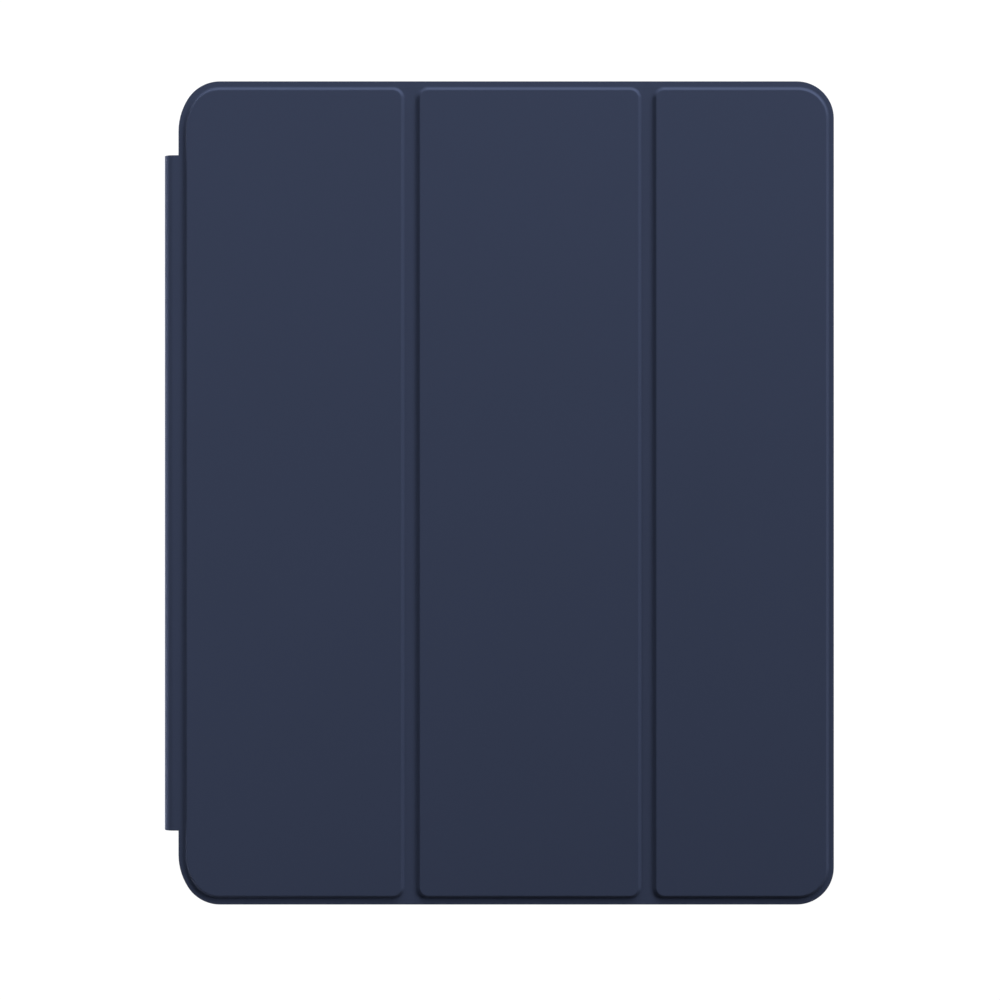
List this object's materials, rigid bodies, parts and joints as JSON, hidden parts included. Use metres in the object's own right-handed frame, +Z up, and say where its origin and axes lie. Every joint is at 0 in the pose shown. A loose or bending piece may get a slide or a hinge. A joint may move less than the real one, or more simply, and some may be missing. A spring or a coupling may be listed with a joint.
{
  "type": "tablet folio case",
  "caption": "Folding tablet folio: a stiff back panel with a camera window, a soft round spine and a front cover of stiff panels that folds inwards into a stand.",
  "frame": {"origin": "under the middle of the closed folio, spine included, on the surface that it lies on", "axes": "+Z up through the closed folio, +X from the spine to the free edge, +Y towards the end with the camera window"},
  "size_m": [0.2296, 0.282, 0.0108],
  "materials": {
    "outer_skin": "smooth matte polyurethane, navy",
    "lining": "short-napped microfibre, navy",
    "stiff_board": "glass-fibre laminate",
    "bonding_film": "clear hot-melt film",
    "magnet_plating": "nickel plating",
    "steel": "cold-rolled steel"
  },
  "bodies": {
    "back": {"back_skin": "outer_skin", "back_board": "stiff_board", "back_magnets": "magnet_plating", "back_film": "bonding_film", "back_lining": "lining"},
    "spine": {"spine_skin": "outer_skin", "spine_lining": "lining", "back_bend_skin": "outer_skin", "back_bend_lining": "lining", "cover_bend_skin": "outer_skin", "cover_bend_lining": "lining"},
    "panel_1": {"panel_1_skin": "outer_skin", "panel_1_board": "stiff_board", "panel_1_film": "bonding_film", "panel_1_lining": "lining", "panel_1_steel_strip": "steel", "fold_1_skin": "outer_skin", "fold_1_lining": "lining"},
    "panel_2": {"panel_2_skin": "outer_skin", "panel_2_board": "stiff_board", "panel_2_film": "bonding_film", "panel_2_lining": "lining", "fold_2_skin": "outer_skin", "fold_2_lining": "lining"},
    "panel_3": {"panel_3_skin": "outer_skin", "panel_3_board": "stiff_board", "panel_3_film": "bonding_film", "panel_3_lining": "lining", "panel_3_latch_magnets": "magnet_plating", "panel_3_sleep_magnet": "magnet_plating"}
  },
  "joints": [
    {"name": "back_hinge", "type": "hinge", "parent": "back", "child": "spine", "pos_m": [-0.11382, 0, 0.0021], "axis": [0, -1, 0], "range_deg": [0, 179], "deforming": ["back_bend_skin", "back_bend_lining"]},
    {"name": "cover_hinge", "type": "hinge", "parent": "spine", "child": "panel_1", "pos_m": [-0.11382, 0, 0.0087], "axis": [0, -1, 0], "range_deg": [0, 179], "deforming": ["cover_bend_skin", "cover_bend_lining"]},
    {"name": "fold_1", "type": "hinge", "parent": "panel_1", "child": "panel_2", "pos_m": [-0.03018, 0, 0.0087], "axis": [0, -1, 0], "range_deg": [-133, 0], "deforming": ["fold_1_skin", "fold_1_lining"]},
    {"name": "fold_2", "type": "hinge", "parent": "panel_2", "child": "panel_3", "pos_m": [0.05083, 0, 0.0087], "axis": [0, -1, 0], "range_deg": [-116, 0], "deforming": ["fold_2_skin", "fold_2_lining"]}
  ],
  "couplings": [
    {"joint": "fold_1", "follows": "cover_hinge", "ratio": -0.74},
    {"joint": "fold_2", "follows": "cover_hinge", "ratio": -0.645}
  ]
}
